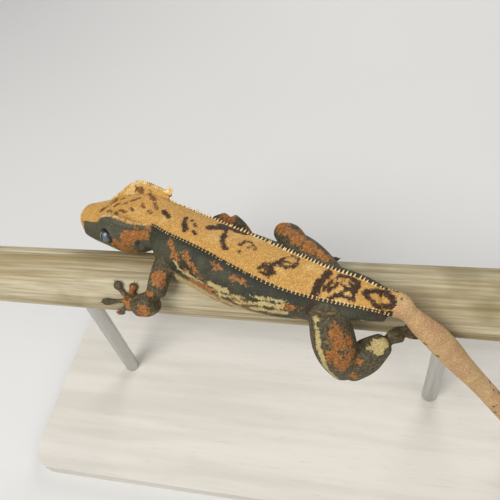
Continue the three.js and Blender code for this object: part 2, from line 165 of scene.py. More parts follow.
def trunk_up(t):
    along = heading(back_line, t)
    lean = np.radians(blend(trunk[:, 3], t))[:, None]
    z = np.array([0, 0, 1.0])
    turned = z * np.cos(lean) - np.cross(along, z) * np.sin(lean)
    return unit(turned + along * (along @ z)[:, None] * (1 - np.cos(lean)))


def trunk_section(t, angle):
    half, deep = blend(trunk[:, 4], t) - skin_inset, blend(trunk[:, 5], t)
    c, s = np.cos(angle), np.sin(angle)
    reach = deep * np.where(s > 0, share_above, share_below) - skin_inset
    return power(c, 2 / body_round) * half, power(s, 2 / body_round) * reach - deep * share_above


# x, y, z, half
tail = np.array([
    (36.4, -12.0, 15.9, 3.2),
    (40.5, -12.4, 15.5, 3.4),
    (43.3, -13.0, 12.9, 2.5),
    (46.7, -13.4, 8.5, 3.1),
    (50.5, -13.5, 3.5, 3.5),
    (54.5, -13.4, -3.2, 3.6),
    (58.6, -13.1, -10.5, 3.3),
    (65.4, -12.6, -21.9, 3.0),
    (73.9, -12.6, -36.3, 3.0),
    (78.2, -13.2, -44.5, 2.3),
    (81.0, -14.0, -50.2, 1.6),
    (82.4, -14.8, -54.2, 1.3),
])
tail_flat = 0.92


def tail_section(t, angle):
    r = (blend(tail[:, 3], t) - skin_inset) * rounded_end(t, 0.03, 0.12)
    return r * np.cos(angle), r * tail_flat * np.sin(angle)


# The head has a frame of its own: ahead, left and up from the crown's back edge.
head_crown = np.array([-25.9, 11.0, 21.9])
head_ahead = unit(np.array([-0.982, 0.132, -0.1]))
head_left = unit(np.cross(np.array([-0.08, 0.1, 0.99]), head_ahead))
head_up = np.cross(head_ahead, head_left)
head_turn = np.stack([head_ahead, head_left, head_up])
# ahead, half, crown, chin
head = np.array([
    (-3.0, 6.4, -1.4, -10.4),
    (1.0, 8.4, -0.2, -12.6),
    (5.5, 9.8, 0.4, -14.0),
    (10.0, 9.5, 0.5, -14.8),
    (14.5, 8.2, 0.0, -15.0),
    (18.5, 6.6, -1.0, -14.8),
    (22.5, 5.4, -1.7, -14.2),
    (25.4, 4.6, -2.2, -13.2),
    (26.8, 3.8, -2.9, -11.8),
])
crown_round, chin_round, head_pinch = 3.1, 2.5, 0.12
crown_share, chin_share = 0.45, 0.55  # their shares in the height of the head's widest level


def head_place(ahead, left, up):
    return head_crown + np.stack(np.broadcast_arrays(ahead, left, up), -1) @ head_turn


def head_section(t, angle):
    half, crown, chin = (blend(head[:, k], t) for k in (1, 2, 3))
    c, s = np.cos(angle), np.sin(angle)
    middle = chin * chin_share + crown * crown_share
    reach = np.where(s > 0, crown - middle, middle - chin) - skin_inset
    pinch = 1 - head_pinch * np.abs(s)
    exponent = np.where(s > 0, 2 / crown_round, 2 / chin_round)
    return power(c, exponent) * (half * pinch - skin_inset), middle + power(s, exponent) * reach


# The brow's edge runs from the crown's back corner to the front of the eye.
brow_back, brow_length = -1.5, 19.5
brow_aside, brow_bulge, brow_narrowing = 6.6, 1.6, 2.2
brow_rise, brow_peak, brow_spread, brow_fall, brow_dip = 2.0, 0.56, 0.26, 1.2, 0.5
brow_half, brow_high, brow_sunk = (0.5, 1.1), (0.45, 1.0), 0.9  # at its ends, and more in its middle


def brow_side(u):
    """How far the brow's edge lies from the crown's middle, at shares u of its length."""
    return brow_aside + brow_bulge * np.sin(np.pi * np.minimum(1, u * 1.15)) - brow_narrowing * u * u


def brow_place(u, hand):
    bend = np.exp(-(((u - brow_peak) / brow_spread) ** 2))
    up = brow_rise * bend - brow_fall * u * u - brow_dip * (1 - u) ** 4
    return head_place(brow_back + brow_length * u, hand * brow_side(u), up)


def brow_section(t, angle):
    half, high = (ends + more * np.sin(np.pi * t) for ends, more in (brow_half, brow_high))
    return half * np.cos(angle), high * np.sin(angle)


end_slope, end_least = 12, 0.35


def round_section(sizes):
    """A round tube's section with soft ends, from its radii along the way."""
    def section(t, angle):
        end = np.clip(np.minimum(end_slope * t, end_slope * (1 - t)) + end_least, 0, 1)
        r = (blend(sizes, t) - skin_inset) * end
        return r * np.cos(angle), r * np.sin(angle)
    return section


cane_middle_radius, cane_taper = 9.25, 0.00047


def cane_radius(x):
    return cane_middle_radius * (1 + cane_taper * x)


def on_cane(x, degrees, lift):
    """A place on the cane, at x along it and degrees up from its near side."""
    a = np.radians(degrees)
    r = cane_radius(x) + lift
    return np.stack(np.broadcast_arrays(x, -r * np.cos(a), r * np.sin(a)), -1)


def cane_out(degrees):
    """Straight out of the cane, at degrees up from its near side."""
    a = np.radians(degrees)
    return np.stack(np.broadcast_arrays(0 * a, -np.cos(a), np.sin(a)), -1)


# upper and lower limb by three points and three radii each, then the foot on the cane:
# x, degrees, palm, wrist, and toes as reach along the cane, turn round it and pad width
limbs = {
    "left_fore": dict(
        upper=[(-20.4, 1.0, 14.4), (-22.2, -5.6, 12.6), (-23.4, -11.2, 9.4)],
        upper_size=[3.8, 3.2, 2.8],
        lower=[(-23.2, -11.6, 9.0), (-26.2, -12.4, 7.4), (-29.8, -11.2, 5.8)],
        lower_size=[3.3, 3.6, 2.7],
        foot=(-33.4, 22, 3.0, (-29.6, -10.7, 6.1)),
        toes=[(1.8, 32, 1.4), (-4.2, 33, 1.5), (-9.2, -8, 1.5), (-6.4, -52, 1.5), (0.6, -62, 1.4)],
    ),
    "right_fore": dict(
        upper=[(-16.4, 11.6, 9.6), (-12.2, 15.0, 10.0), (-7.3, 15.8, 12.6)],
        upper_size=[3.3, 2.8, 2.3],
        lower=[(-7.0, 15.8, 12.4), (-3.8, 14.8, 9.4), (-1.0, 12.7, 6.4)],
        lower_size=[2.4, 2.2, 1.8],
        foot=(1.0, 146, 2.4, (-0.8, 12.3, 6.1)),
        toes=[(-7.4, 20, 1.5), (-5.2, 44, 1.5), (0.4, 54, 1.5), (5.4, 42, 1.5), (7.4, 16, 1.4)],
    ),
    "left_hind": dict(
        upper=[(23.4, -12.6, 12.4), (25.8, -17.8, 3.0), (28.4, -18.8, -9.4)],
        upper_size=[4.8, 5.8, 3.4],
        lower=[(29.0, -18.6, -9.2), (33.6, -17.4, -2.0), (39.0, -13.9, 1.2)],
        lower_size=[3.5, 4.6, 2.7],
        foot=(42.6, -4, 2.6, (39.2, -13.2, 1.0)),
        toes=[(3.0, 44, 1.5), (8.2, 22, 1.6), (9.0, -14, 1.6), (5.4, -44, 1.6), (-2.0, -52, 1.5)],
    ),
    "right_hind": dict(
        upper=[(24.4, -5.0, 13.2), (17.4, 2.4, 14.6), (9.0, 9.4, 14.8)],
        upper_size=[4.4, 4.2, 2.7],
        lower=[(8.8, 9.8, 14.4), (11.6, 13.0, 9.6), (15.2, 12.2, 4.6)],
        lower_size=[2.9, 3.1, 2.1],
        foot=(18.4, 168, 2.6, (15.4, 12.0, 4.4)),
        toes=[(-5.0, 40, 1.6), (1.6, 54, 1.6), (6.8, 38, 1.6), (9.2, 10, 1.6), (6.6, -18, 1.5)],
    ),
}
toe_half, toe_thick, toe_lift = 0.75, 0.62, 0.72
pad_at, pad_spread = 0.8, 0.17  # of the toe's length
palm_level = 0.45  # of the palm's radius, over the cane
palm_shape = np.array([0.72, 0.8, 0.9, 0.7])


def steady_up(*direction):
    """An up direction for frames, the same all along the tube."""
    return lambda t: np.tile(np.array(direction, float), (len(t), 1))


def toe_line(foot, toe):
    x, degrees = foot[0], foot[1]
    return lambda t: on_cane(x + toe[0] * t, degrees + toe[1] * t, toe_lift)


def toe_up(foot, toe):
    return lambda t: cane_out(foot[1] + toe[1] * t)


def toe_section(pad):
    def section(t, angle):
        half = toe_half + (pad - toe_half) * np.exp(-(((t - pad_at) / pad_spread) ** 2))
        end = rounded_end(t, 0.1, 0.15)
        return half * end * np.cos(angle), toe_thick * end * np.sin(angle)
    return section


def brow_line(hand):
    return lambda t: brow_place(t, hand) - head_up * brow_sunk


def limb_line(points):
    return lambda t: blend(points, t)


tubes = [
    tube(back_line, trunk_up, trunk_section, 90, 64),
    tube(limb_line(tail[:, :3]), steady_up(0, -1, 0.15), tail_section, 120, 32),
    tube(lambda t: head_place(blend(head[:, 0], t), 0, 0), steady_up(*head_up), head_section, 60, 64),
]
for hand in (-1, 1):
    tubes.append(tube(brow_line(hand), steady_up(*head_up), brow_section, 24, 14))
limb_lines = []
for leg in limbs.values():
    x, degrees, palm, wrist = leg["foot"]
    middle = on_cane(x, degrees, palm * palm_level)
    palm_points = [wrist, (wrist + middle) / 2, middle, middle * 1.02]
    for points, sizes in (
        (leg["upper"], leg["upper_size"]),
        (leg["lower"], leg["lower_size"]),
        (palm_points, palm * palm_shape),
    ):
        limb_lines.append((np.array(points, float), sizes))
        tubes.append(tube(limb_line(points), steady_up(0.2, 0.1, 1), round_section(sizes), 24, 20))
    for toe in leg["toes"]:
        tubes.append(tube(toe_line(leg["foot"], toe), toe_up(leg["foot"], toe), toe_section(toe[2]), 20, 12))


def mesh_piece(name, corners, faces):
    """A piece at the origin, from corners in millimetres from the cane's middle."""
    data = bpy.data.meshes.new(name)
    data.from_pydata([stand_place(p) for p in corners], [], faces)
    data.shade_smooth()
    made = bpy.data.objects.new(name, data)
    bpy.context.collection.objects.link(made)
    return made


def settled(piece):
    """The piece with its modifiers worked into its mesh."""
    graph = bpy.context.evaluated_depsgraph_get()
    data = bpy.data.meshes.new_from_object(piece.evaluated_get(graph))
    old = piece.data
    piece.modifiers.clear()
    piece.data = data
    bpy.data.meshes.remove(old)
    return piece


corners, faces, start = [], [], 0
for tube_corners, tube_faces in tubes:
    corners.append(tube_corners)
    faces += [tuple(start + i for i in f) for f in tube_faces]
    start += len(tube_corners)
skin = mesh_piece("skin", np.vstack(corners), faces)
grow = skin.modifiers.new("grow", "REMESH")
grow.mode, grow.voxel_size, grow.use_smooth_shade = "VOXEL", 0.39 * MM, True
even = skin.modifiers.new("even", "SMOOTH")
even.factor, even.iterations = 0.5, 5
settled(skin)
cane_middle = np.array([0, 0, CANE_HEIGHT])


def read_skin(label):
    flat = np.empty(len(skin.data.vertices) * 3)
    skin.data.vertices.foreach_get(label, flat)
    return flat.reshape(-1, 3)


def skin_points():
    return read_skin("co") / MM - cane_middle


def set_skin_points(points):
    skin.data.vertices.foreach_set("co", ((points + cane_middle) * MM).ravel())
    skin.data.update()


# The head's own forms, pressed into the soft skin of the casting: eye sockets with rims in
# place of lids, the mouth line with its lips, the nostrils and the upright ear openings.
eye_radius, eye_ahead, eye_aside, eye_below = 2.55, 14.8, 6.9, 5.9
mouth_level = 0.78  # of the way from the crown down to the chin
mouth_back, mouth_front = 0.42, 0.985  # shares of the head's length
snout_ahead, snout_half, snout_mouth = 27.0, 3.2, -9.8
nostril_place = (25.2, 4.3, -4.9)
ear_place, ear_size = (3.4, 9.4, -6.6), np.array([0.75, 2, 1.5])
# a form's raised rim and its hollow: height or depth, distance and width of each
socket_rim, socket_groove = (0.30, eye_radius + 0.55, 0.5), (0.25, eye_radius + 1.6, 0.5)
lip_rim, mouth_cut = (0.16, 0.95, 0.5), (0.42, 0, 0.36)
nostril_rim, nostril_hole = (0.16, 0.85, 0.35), (0.75, 0, 0.45)
ear_rim, ear_hole = (0.2, 1.5, 0.5), (1.0, 0, 0.8)


def lip_line(hand):
    """The mouth's edge along one side of the head's own section."""
    t = np.linspace(mouth_back, mouth_front, 40)
    half, crown, chin = (blend(head[:, k], t) for k in (1, 2, 3))
    level = crown + (chin - crown) * mouth_level
    middle = chin * chin_share + crown * crown_share
    drop = (middle - level) / (middle - chin)
    reach = half * (1 - head_pinch * drop ** (chin_round / 2)) * (1 - drop**chin_round) ** (1 / chin_round)
    return head_place(blend(head[:, 0], t), hand * reach, level)


def nearest(points, targets, radii=None):
    """Distance from each point to the nearest target, in that target's radii, and its number."""
    best = np.full(len(points), 1e9)
    which = np.zeros(len(points), int)
    for k, target in enumerate(targets):
        distance = ((points - target) ** 2).sum(1)
        if radii is not None:
            distance /= radii[k] ** 2
        closer = distance < best
        best[closer], which[closer] = distance[closer], k
    return np.sqrt(best), which


def bump(distance, width):
    return np.exp(-((distance / width) ** 2))


def rim_and_hollow(distance, rim, hollow):
    """How far the skin is pushed out and in at a distance from the form's middle."""
    pushed = [height * bump(distance - at, width) for height, at, width in (rim, hollow)]
    return pushed[0] - pushed[1]


def on_head(points):
    return (points - head_crown) @ head_turn.T


head_from, head_reach = -2, 13  # ahead of the crown's back edge, and to each side
points, normals = skin_points(), read_skin("normal")
in_head = on_head(points)
near_head = np.where((in_head[:, 0] > head_from) & (np.abs(in_head[:, 1]) < head_reach))[0]
spot = points[near_head]
push = np.zeros(len(spot))
snout_front = head_place(np.full(9, snout_ahead), np.linspace(-snout_half, snout_half, 9), snout_mouth)
for hand in (-1, 1):
    socket, _ = nearest(spot, [head_place(eye_ahead, hand * eye_aside, -eye_below)])
    mouth, _ = nearest(spot, np.vstack([lip_line(hand), snout_front]))
    nostril, _ = nearest(spot, [head_place(nostril_place[0], hand * nostril_place[1], nostril_place[2])])
    local = in_head[near_head] - (ear_place[0], hand * ear_place[1], ear_place[2])
    ear = np.sqrt(((local / ear_size) ** 2).sum(1))
    push += rim_and_hollow(socket, socket_rim, socket_groove)
    push += rim_and_hollow(mouth, lip_rim, mouth_cut)
    push += rim_and_hollow(nostril, nostril_rim, nostril_hole)
    push += rim_and_hollow(ear, ear_rim, ear_hole)
points[near_head] += normals[near_head] * push[:, None]


# Where the belly, hands and feet press on the cane the skin flattens against it, and stays
# a little clear of the wood all round.
def rest_on_cane(p, clearance=0.12):
    r = np.hypot(p[:, 1], p[:, 2])
    least = cane_radius(p[:, 0]) + clearance
    scale = np.where(r < least, least / np.maximum(r, 1e-6), 1)
    p[:, 1] *= scale
    p[:, 2] *= scale
    return p


set_skin_points(rest_on_cane(points))

# Where each point of the skin lies on the animal: along and across the trunk, and how far
# it belongs to the head, the tail and the limbs. The markings are drawn in these.
points = skin_points()
shares = np.linspace(0, 1, 161)
ridge, ridge_side, ridge_rise = frames(back_line, trunk_up, shares)
ridge_half, ridge_deep, ridge_band = (blend(trunk[:, k], shares) for k in (4, 5, 6))
core_level, band_level = 0.46, 0.45  # shares of the depth under the back's middle
band_most = 0.98  # of the trunk's half width
toe_reach = 1.4


def crest_drop(edge, half, deep):
    """How far the back has dropped at the band's edge, where the crest grows."""
    angle = np.arccos(np.minimum(edge / half, band_most) ** (body_round / 2))
    return -deep * share_above * (1 - np.sin(angle) ** (2 / body_round))


trunk_near, station = nearest(points, ridge - ridge_rise * (ridge_deep * core_level)[:, None], ridge_half)
offset = points - ridge[station]
across = (offset * ridge_side[station]).sum(1)
lift = (offset * ridge_rise[station]).sum(1)
edge = ridge_band[station]
near_side = np.where(across > 0, 1.0, -1.0)
drop = np.hypot(across - near_side * edge, lift - crest_drop(edge, ridge_half[station], ridge_deep[station]))
on_back = np.abs(across) < edge
on_band = on_back & (lift > -ridge_deep[station] * band_level)
flat_across = np.where(on_band, across / edge, near_side * (1 + drop / 10))
along = ridge[station][:, 0]


def near_tube(curve, sizes, count):
    """Distance from each point to a limb or tail, in its radii, and the share along it."""
    t = np.linspace(0, 1, count)
    distance, which = nearest(points, blend(curve, t), blend(sizes, t))
    return distance, t[which]


limb_near = np.full(len(points), 9.0)
for curve, sizes in limb_lines:
    limb_near = np.minimum(limb_near, near_tube(curve, sizes, 30)[0])
for leg in limbs.values():
    for toe in leg["toes"]:
        toe_near, _ = nearest(points, toe_line(leg["foot"], toe)(np.linspace(0, 1, 12)))
        limb_near = np.minimum(limb_near, toe_near / toe_reach)
tail_near, tail_share = near_tube(tail[:, :3], tail[:, 3], 90)
ahead, left, above = on_head(points).T


# The markings, as distances in millimetres into each mark, kept on the skin's points:
# cream back band, brown strokes, orange and pale patches, pale belly, tan tail, grey limbs.
# They lie in the skin's own colour, and nothing is painted over it.
outside = -3.0
face_back = -1.2
limb_reach, tail_reach, trunk_reach = 1.3, 1.25, 1.6  # in radii from each one's middle
trunk_weight = 1.25
tail_from, tail_root = 38, 0.06


def point_layer(piece, name, values):
    """An attribute on a piece's points, of one number or of three for each."""
    values = np.array(values, np.float32)
    kind, field = ("FLOAT", "value") if values.ndim == 1 else ("FLOAT_VECTOR", "vector")
    piece.data.attributes.new(name, kind, "POINT").data.foreach_set(field, values.ravel())


def only(where, values):
    """The distances where the mark may lie, and well outside it elsewhere."""
    return np.where(where, values, outside)


def from_stroke(u, v, stroke, reach):
    """Distance into a bent stroke of that half width, in the plane of u and v."""
    best = np.full(len(u), 1e9)
    for (u1, v1), (u2, v2) in zip(stroke, stroke[1:] + stroke[-1:]):
        du, dv = u2 - u1, v2 - v1
        share = np.clip(((u - u1) * du + (v - v1) * dv) / max(du * du + dv * dv, 1e-9), 0, 1)
        best = np.minimum(best, np.hypot(u - u1 - share * du, v - v1 - share * dv))
    return reach - best


def most(layers):
    return np.max(np.stack(layers), 0)


head_t = np.linspace(0, 1, 60)
ahead_line, half_line, crown_line = (blend(head[:, k], head_t) for k in (0, 1, 2))
crown_here = np.interp(ahead, ahead_line, crown_line)
half_here = np.interp(ahead, ahead_line, half_line)
is_head = ahead > face_back
is_limb = limb_near < np.minimum(trunk_near * trunk_weight, limb_reach)
is_tail = (tail_near < tail_reach) & (points[:, 0] > tail_from) & (tail_share > tail_root)
is_flank = ~(is_head | is_limb | is_tail)

# The cream band lies between the crests, and on the head between the brows and over the snout.
snout_from, snout_wide, snout_low = 25.2, 4.4, -6.6
brow_margin, cheek_share, crown_depth, neck_length = 0.5, 0.88, 2.0, 4.0
over_eyes = brow_side(np.clip((ahead - brow_back) / brow_length, 0, 1)) + brow_margin
crown_width = np.minimum(over_eyes, half_here * cheek_share)
crown_in = np.minimum(crown_width - np.abs(left), (above - crown_here + crown_depth) * 1.2)
crown_in = np.where(ahead > snout_from, np.minimum(snout_wide - np.abs(left), above - snout_low), crown_in)
band_in = np.where(on_band, edge - np.abs(across), -drop)
headward = np.clip(ahead / neck_length + 1, 0, 1)
band_in = band_in * (1 - headward) + crown_in * headward
band_in = only(~is_limb | on_back, band_in)

# along the back and across the band as a share of its half width, then half width of stroke
loop_mark = [
    (11.5, -0.12), (12.0, -0.49), (13.0, -0.8), (14.9, -0.72), (15.0, -0.32), (13.2, 0.05), (11.5, -0.12),
]
hip_mark = [(23.6, 0.5), (24.9, -0.2), (26.3, -0.7), (28.7, -0.84), (30.6, -0.54), (30.4, 0.1), (28.7, 0.02)]
ring_mark = [
    (32.6, -0.03), (34.5, -0.62), (36.1, -0.45), (38.6, 0.42), (36.3, 0.88), (34.1, 0.4), (32.6, -0.03),
]
back_strokes = [
    ([(-16.9, -0.08), (-15.2, 0.3), (-13.2, 0.68)], 0.8),
    ([(-14.8, -0.22), (-14.2, -0.1)], 0.5),
    ([(-12.8, 0.02), (-11.6, 0.2)], 0.5),
    ([(-11.4, 0.5), (-10.4, 0.6)], 0.5),
    ([(-9.0, -0.16), (-7.0, -0.5), (-5.1, -0.84), (-3.6, -1.0)], 0.9),
    ([(-7.0, -0.8), (-5.0, -0.95), (-3.0, -1.0), (-0.8, -1.1)], 1.5),
    ([(-5.2, -0.6), (-4.1, 0.02), (-3.1, 0.35), (-1.6, 0.56)], 0.7),
    ([(0.8, -0.1), (1.3, -0.45), (3.0, -0.5), (4.2, -0.34), (3.4, -0.06)], 0.42),
    ([(4.8, -0.24), (5.0, -0.2)], 0.4),
    ([(1.8, 0.34), (2.4, 0.42)], 0.42),
    ([(8.6, 0.74), (9.5, 0.26), (11.0, 0.5), (10.4, 0.2), (11.5, -0.12)], 0.5),
    ([(8.6, 0.74), (10.6, 0.76), (11.4, 0.5)], 0.42),
    (loop_mark, 0.42),
    ([(20.8, 1.1), (21.8, 0.62), (22.0, 0.08), (23.2, -0.34), (23.4, -0.7)], 1.1),
    (hip_mark, 0.62),
    ([(25.2, 0.9), (27.3, 0.57), (30.1, 0.7), (30.6, 0.1)], 0.6),
    ([(27.3, 0.57), (28.7, 0.02), (26.6, -0.2)], 0.5),
    ([(24.6, 0.5), (26.0, 0.1), (27.6, -0.5)], 0.4),
    ([(29.0, -0.4), (30.0, -0.2)], 0.45),
    ([(11.0, -0.1), (13.0, -0.35), (14.4, -0.3)], 0.32),
    ([(9.6, 0.5), (10.4, 0.56)], 0.45),
    (ring_mark, 0.72),
]
# ahead and left on the crown, then half width
crown_strokes = [
    ([(18.0, 1.9), (16.1, 0.5), (14.3, -1.6)], 0.55),
    ([(14.4, 2.7), (13.0, 3.1)], 0.4),
    ([(13.4, 0.9), (12.2, -0.2)], 0.42),
    ([(10.5, 2.5), (8.4, 3.1)], 0.48),
    ([(7.4, 1.6), (6.4, 2.3)], 0.5),
    ([(9.2, -5.9), (7.4, -5.9)], 0.5),
    ([(5.2, -5.8), (3.8, -4.6), (2.2, -3.0)], 0.6),
    ([(1.4, -1.7), (-0.4, 0.2)], 0.55),
    ([(1.8, 1.5), (0.6, 2.3)], 0.5),
    ([(-2.7, 0.9), (-4.0, 2.0), (-5.4, 3.3)], 0.65),
    ([(16.8, -1.0), (14.9, -2.9)], 0.34),
    ([(12.8, -2.0), (11.2, -3.9)], 0.36),
    ([(11.4, 0.6), (9.8, -0.6)], 0.34),
    ([(8.8, -1.2), (7.0, -2.8)], 0.4),
    ([(4.8, -0.6), (3.4, 0.9)], 0.38),
    ([(11.8, 3.6), (10.6, 4.1)], 0.34),
]
# half width of the band under the strokes, and its taper from the hips on
stroke_band, stroke_taper, taper_from = 5.4, 0.13, 16
past_edge, crown_thick, strokes_end = 1.2, 2.2, 38.9


def on_the_band(stroke):
    """A back stroke with its places across in millimetres."""
    return [(x, share * (stroke_band - max(0, x - taper_from) * stroke_taper)) for x, share in stroke]


flat_place = np.clip(flat_across, -past_edge, past_edge) * edge
back_brown = [from_stroke(along, flat_place, on_the_band(stroke), reach) for stroke, reach in back_strokes]
crown_brown = [from_stroke(ahead, left, stroke, reach) for stroke, reach in crown_strokes]
brown_in = np.maximum(
    only(~is_head & (trunk_near < trunk_reach), most(back_brown)),
    only(above > crown_here - crown_thick, most(crown_brown)),
)
brown_in = only(~is_limb & ~(is_tail & (along > strokes_end)), brown_in)

# along the back and down the flank from the crest, then half width
flank_orange = [
    ([(-14.6, 2.4), (-13.2, 4.0), (-11.6, 6.2)], 0.8),
    ([(-9.8, 3.2), (-8.6, 4.8), (-6.4, 6.0)], 0.75),
    ([(-8.6, 7.8), (-7.0, 9.2), (-4.6, 9.6), (-1.8, 9.0)], 0.7),
    ([(-1.6, 2.4), (-0.4, 2.8)], 0.6),
    ([(-1.0, 1.9), (-1.0, 3.3)], 0.5),
    ([(3.2, 3.3), (5.4, 2.7), (7.0, 2.5)], 0.55),
    ([(14.0, 4.4), (17.0, 3.6)], 0.5),
]
flank_pale = [
    ([(-12.4, 6.6), (-10.9, 7.9), (-9.4, 8.6)], 0.28),
    ([(-9.0, 8.4), (-6.0, 8.5), (-3.4, 8.3)], 0.3),
    ([(-1.4, 7.4), (1.0, 7.3), (2.6, 7.0)], 0.75),
    ([(0.5, 9.4), (2.6, 8.6), (4.5, 7.4), (6.6, 6.4)], 0.42),
    ([(4.0, 9.4), (6.0, 8.6), (8.5, 6.7), (11.5, 5.3), (14.0, 4.6)], 0.4),
    ([(8.0, 8.8), (11.0, 7.4), (15.0, 6.2)], 0.4),
    ([(9.0, 4.9), (12.5, 3.6), (15.0, 3.0)], 0.3),
]
# places on the limbs, and ahead, left and up on the head, then radius
limb_orange = [
    ((-21.7, -8.3, 14.5), 2.3), ((-35.1, -8.8, 4.6), 1.5), ((-31.6, -7.6, 6.4), 1.7),
    ((-24.0, -11.0, 11.0), 1.2), ((-25.6, -14.4, 8.4), 2.2), ((-32.4, -11.4, 5.4), 2.0),
    ((26.2, -18.6, 11.1), 2.0), ((29.0, -19.2, 7.9), 1.6), ((26.3, -22.2, 5.7), 2.4),
    ((27.8, -22.4, 2.4), 2.2), ((29.6, -20.8, 5.0), 1.6), ((31.9, -18.6, -0.9), 2.4),
    ((27.0, -20.6, 8.6), 1.5), ((10.7, 8.8, 17.4), 2.6), ((14.1, 5.3, 18.3), 2.0),
    ((17.4, 2.5, 18.6), 1.9), ((12.4, 7.0, 18.0), 1.6), ((15.8, 3.8, 18.6), 1.6),
    ((19.2, 1.0, 18.6), 1.5), ((22.6, -1.0, 17.6), 1.2), ((20.9, 0.0, 18.4), 1.5),
    ((8.2, 12.0, 15.0), 2.0), ((-7.3, 15.8, 13.2), 2.2), ((-13.2, 14.4, 11.6), 1.8),
    ((1.0, 7.6, 8.8), 1.8), ((13.2, 14.0, 9.6), 2.2),
]
cheek_orange = [
    ((13.0, 8.4, -8.4), 1.5), ((11.0, 8.9, -8.0), 2.1), ((8.4, 9.4, -8.2), 2.1), ((6.4, 9.2, -9.6), 1.2),
    ((7.4, 9.4, -4.6), 1.9), ((5.0, 9.0, -3.6), 2.3), ((2.6, 8.4, -2.8), 2.2), ((0.2, 7.8, -2.8), 1.6),
]
limb_pale = [
    ((32.3, -15.3, 12.4), 0.7), ((36.4, -16.8, 2.6), 2.0), ((38.4, -15.4, 3.4), 1.7),
    ((34.6, -17.4, 2.4), 1.1),
]
thigh_edge = [
    (21.2, -15.8, 13.6), (22.0, -19.8, 9.4), (22.6, -22.0, 5.6), (23.8, -23.2, 1.0), (26.4, -22.6, -5.6),
]
limb_pale += [(place, 0.75) for place in blend(thigh_edge, np.linspace(0, 1, 26))]


def from_blobs(spots, blobs):
    """Distance into the nearest of some round patches."""
    return most([reach - np.linalg.norm(spots - np.array(place), axis=1) for place, reach in blobs])


chance = random.Random(11)
far_shift = -1.8


def on_flank(strokes):
    """The strokes on the near flank, and like ones a little moved on the far one."""
    layers = []
    for stroke, reach in strokes:
        layers.append(only(across > 0, from_stroke(along, drop, stroke, reach)))
        lower = chance.uniform(-0.7, 0.7)
        moved = [(x + far_shift + chance.uniform(-0.5, 0.5), d + lower) for x, d in stroke]
        layers.append(only(across <= 0, from_stroke(along, drop, moved, reach)))
    return only(is_flank, most(layers))


orange_in = np.maximum(on_flank(flank_orange), from_blobs(points, limb_orange))
cheek_spots = np.stack([ahead, np.abs(left), above], 1)
orange_in = np.maximum(orange_in, only(ahead > -2, from_blobs(cheek_spots, cheek_orange)))
# patches strewn over the limbs' hidden parts, on the far side and under the cane's middle
hidden_count, far_side = 34, 4
hidden = np.where(is_limb & ((points[:, 1] > far_side) | (points[:, 2] < 0)))[0]
hidden_orange = [
    (points[hidden[chance.randrange(len(hidden))]], chance.uniform(0.9, 1.9)) for _ in range(hidden_count)
]
orange_in = only(~is_tail, np.maximum(orange_in, from_blobs(points, hidden_orange)))
pale_in = np.maximum(on_flank(flank_pale), from_blobs(points, limb_pale))
belly_level, streak_level, streak_from = 10.4, 6.4, -5.0
belly_in = only(~(is_limb | is_tail), np.where(is_head, -above, drop) - belly_level)
streaked_in = only(is_flank, np.minimum(drop - streak_level, along - streak_from))
tail_length, tail_start = 113.0, 0.07
for name, values in dict(
    band=band_in,
    brown=brown_in,
    orange=orange_in,
    pale=pale_in,
    belly=belly_in,
    tail=only(is_tail, (tail_share - tail_start) * tail_length),
    limb=np.where(is_limb, (limb_reach - limb_near) * 3, -1.5),
    face=ahead - face_back,
    streaked=streaked_in,
).items():
    point_layer(skin, name, np.clip(values, outside, -outside))


# The skin's finish: matt, with fine granular scales in the bump, each a little lighter or
# darker than the next. The markings' edges wander from scale to scale.
def colour(red, green, blue):
    """A paint colour, from how strong its red, green and blue look, 0 to 255."""
    return tuple((c / 255) ** 2.2 for c in (red, green, blue)) + (1,)


def wire(tree, kind, inputs=None, **settings):
    """A new node with its settings, and its inputs either joined or set."""
    made = tree.nodes.new(kind)
    for name, value in settings.items():
        setattr(made, name, value)
    for name, value in (inputs or {}).items():
        if isinstance(value, bpy.types.NodeSocket):
            tree.links.new(value, made.inputs[name])
        else:
            made.inputs[name].default_value = value
    return made


def attribute(tree, name):
    return wire(tree, "ShaderNodeAttribute", attribute_name=name)


def sums(tree, work, a, b=0.0):
    """One sum of two numbers, by the name of its operation."""
    return wire(tree, "ShaderNodeMath", {0: a, 1: b}, operation=work).outputs[0]


def ramp(tree, value, low, high, start=0.0, end=1.0):
    """A soft step from start to end as the value goes from low to high."""
    return wire(tree, "ShaderNodeMapRange", {
        "Value": value, "From Min": low, "From Max": high, "To Min": start, "To Max": end,
    }, interpolation_type="SMOOTHSTEP").outputs["Result"]


def mixed(tree, share, a, b, how="MIX"):
    made = wire(tree, "ShaderNodeMix", {0: share, 6: a, 7: b}, data_type="RGBA", blend_type=how)
    return made.outputs[2]


def noise(tree, place, scale, detail=3.0, rough=0.5):
    return wire(tree, "ShaderNodeTexNoise", {
        "Vector": place, "Scale": scale, "Detail": detail, "Roughness": rough,
    }).outputs["Fac"]


def group_of(name, kind, inputs, outputs):
    """A node group with named sockets, and the two nodes that its values pass through."""
    tree = bpy.data.node_groups.new(name, kind)
    for way, sockets in (("INPUT", inputs), ("OUTPUT", outputs)):
        for label, socket_kind in sockets.items():
            tree.interface.new_socket(label, in_out=way, socket_type=socket_kind)
    return tree, tree.nodes.new("NodeGroupInput").outputs, tree.nodes.new("NodeGroupOutput").inputs


